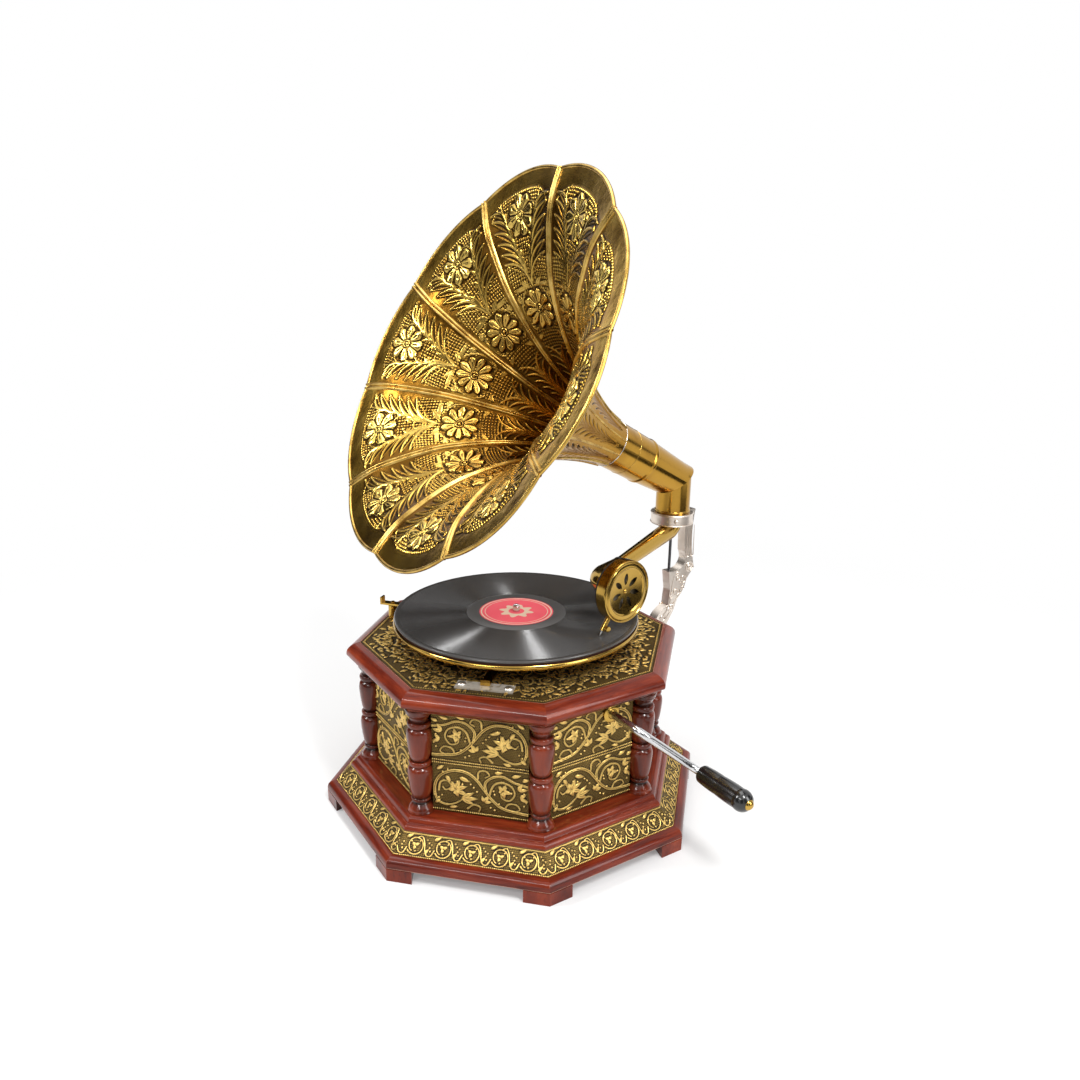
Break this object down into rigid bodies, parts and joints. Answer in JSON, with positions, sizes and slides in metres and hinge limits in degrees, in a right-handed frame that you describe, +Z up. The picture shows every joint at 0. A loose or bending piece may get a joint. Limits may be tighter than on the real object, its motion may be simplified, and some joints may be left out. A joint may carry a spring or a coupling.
{
  "type": "horn gramophone",
  "caption": "Wind-up gramophone with an eight-sided wooden case, embossed brass panels, turned corner columns, a turntable with a record, a swinging tone arm and a petalled brass horn.",
  "frame": {"origin": "on the floor under the turntable spindle, in the middle of the eight feet", "axes": "+Z up along the spindle, -Y the way the horn looks, +X the way the winding crank leaves the case"},
  "size_m": [0.4628, 0.423, 0.6327],
  "materials": {
    "mahogany": "glossy red lacquer",
    "antique_brass": "embossed sheet with dark patina",
    "polished_brass": "polished",
    "cast_aluminium": "polished casting",
    "chrome": "polished plating",
    "steel": "machined",
    "blued_steel": "hardened and blued",
    "black_handle": "gloss black",
    "black_rubber": "matt",
    "shellac": "pressed grooves",
    "label_paper": "printed paper",
    "felt": "wool felt",
    "mica": "clear sheet"
  },
  "bodies": {
    "base": {"corner_feet": "mahogany", "plinth_board": "mahogany", "plinth_slope": "mahogany", "plinth_band": "antique_brass", "step_moulding": "mahogany", "case_wall": "mahogany", "case_panels": "antique_brass", "corner_columns": "mahogany", "top_board": "mahogany", "top_rim": "mahogany", "top_plate": "antique_brass", "motor_grommets": "black_rubber", "motor_screws": "steel", "motor_plate": "polished_brass", "motor_pillars": "steel", "motor_lower_plate": "polished_brass", "click_pin": "steel", "crank_bush": "polished_brass", "back_bracket": "cast_aluminium", "bracket_screws": "steel", "clamp_screw": "polished_brass", "pivot_pin": "blued_steel", "speed_plate": "polished_brass", "brake_post": "polished_brass"},
    "turntable": {"spindle": "chrome", "spindle_pinion": "steel", "spindle_wheel": "polished_brass", "platter": "polished_brass", "platter_felt": "felt", "record": "shellac", "record_label": "label_paper"},
    "intermediate": {"intermediate_gear": "polished_brass"},
    "barrel": {"spring_barrel": "polished_brass", "mainspring": "blued_steel"},
    "arbor": {"barrel_arbor": "steel", "crown_wheel": "polished_brass", "ratchet_wheel": "steel"},
    "click": {"click": "steel"},
    "governor": {"governor_shaft": "steel", "governor_disc": "polished_brass", "governor_weights": "polished_brass"},
    "crank": {"crank_rod": "chrome", "winding_pinion": "steel", "handle_rivet": "polished_brass"},
    "handle": {"crank_handle": "black_handle"},
    "horn": {"elbow": "polished_brass", "horn_collar": "polished_brass", "horn_petals": "antique_brass"},
    "tone_arm": {"tonearm": "polished_brass", "gasket": "black_rubber"},
    "sound_box": {"gooseneck": "polished_brass", "soundbox_rubber": "black_rubber", "soundbox_case": "polished_brass", "diaphragm": "mica", "soundbox_cover": "polished_brass", "needle_holder": "chrome", "needle": "steel"},
    "needle_clamp": {"needle_screw": "chrome"},
    "speed_control": {"speed_lever": "polished_brass"},
    "brake": {"brake_lever": "polished_brass"}
  },
  "joints": [
    {"name": "turntable_spin", "type": "hinge", "parent": "base", "child": "turntable", "pos_m": [0, 0, 0.19], "axis": [0, 0, 1], "continuous": true},
    {"name": "intermediate_spin", "type": "hinge", "parent": "base", "child": "intermediate", "pos_m": [0.02445, 0.02683, 0.1], "axis": [0, 0, 1], "continuous": true},
    {"name": "barrel_spin", "type": "hinge", "parent": "base", "child": "barrel", "pos_m": [0.06602, 0.019, 0.1], "axis": [0, 0, 1], "continuous": true},
    {"name": "governor_spin", "type": "hinge", "parent": "base", "child": "governor", "pos_m": [0.02622, -0.0251, 0.1], "axis": [0, 0, 1], "continuous": true},
    {"name": "crank_spin", "type": "hinge", "parent": "base", "child": "crank", "pos_m": [0.14, 0.019, 0.1435], "axis": [1, 0, 0], "continuous": true},
    {"name": "arbor_spin", "type": "hinge", "parent": "base", "child": "arbor", "pos_m": [0.06602, 0.019, 0.12], "axis": [0, 0, 1], "continuous": true},
    {"name": "click_rock", "type": "hinge", "parent": "base", "child": "click", "pos_m": [0.04102, 0.0373, 0.13], "axis": [0, 0, 1], "range_deg": [0, 12]},
    {"name": "handle_spin", "type": "hinge", "parent": "crank", "child": "handle", "pos_m": [0.23, 0.08488, 0.08822], "axis": [1, 0, 0], "continuous": true},
    {"name": "horn_swivel", "type": "hinge", "parent": "base", "child": "horn", "pos_m": [0, 0.205, 0.28], "axis": [0, 0, 1], "range_deg": [-40, 40]},
    {"name": "tonearm_swing", "type": "hinge", "parent": "base", "child": "tone_arm", "pos_m": [0, 0.205, 0.274], "axis": [0, 0, 1], "range_deg": [-16, 30]},
    {"name": "gooseneck_swivel", "type": "hinge", "parent": "tone_arm", "child": "sound_box", "pos_m": [0.00435, 0.19366, 0.25982], "axis": [0.3552, -0.9254, -0.1323], "range_deg": [0, 90]},
    {"name": "needle_screw_turn", "type": "hinge", "parent": "sound_box", "child": "needle_clamp", "pos_m": [0.10154, 0.0402, 0.20971], "axis": [0.9877, 0.1564, 0], "range_deg": [0, 180]},
    {"name": "speed_swing", "type": "hinge", "parent": "base", "child": "speed_control", "pos_m": [0.06068, -0.05809, 0.17], "axis": [0, 0, 1], "range_deg": [-12, 12]},
    {"name": "brake_swing", "type": "hinge", "parent": "base", "child": "brake", "pos_m": [-0.104, -0.092, 0.193], "axis": [0, 0, 1], "range_deg": [0, 20]}
  ],
  "couplings": [
    {"joint": "intermediate_spin", "follows": "turntable_spin", "ratio": -0.2},
    {"joint": "barrel_spin", "follows": "turntable_spin", "ratio": 0.033333},
    {"joint": "governor_spin", "follows": "turntable_spin", "ratio": -5},
    {"joint": "arbor_spin", "follows": "crank_spin", "ratio": 0.33333}
  ]
}
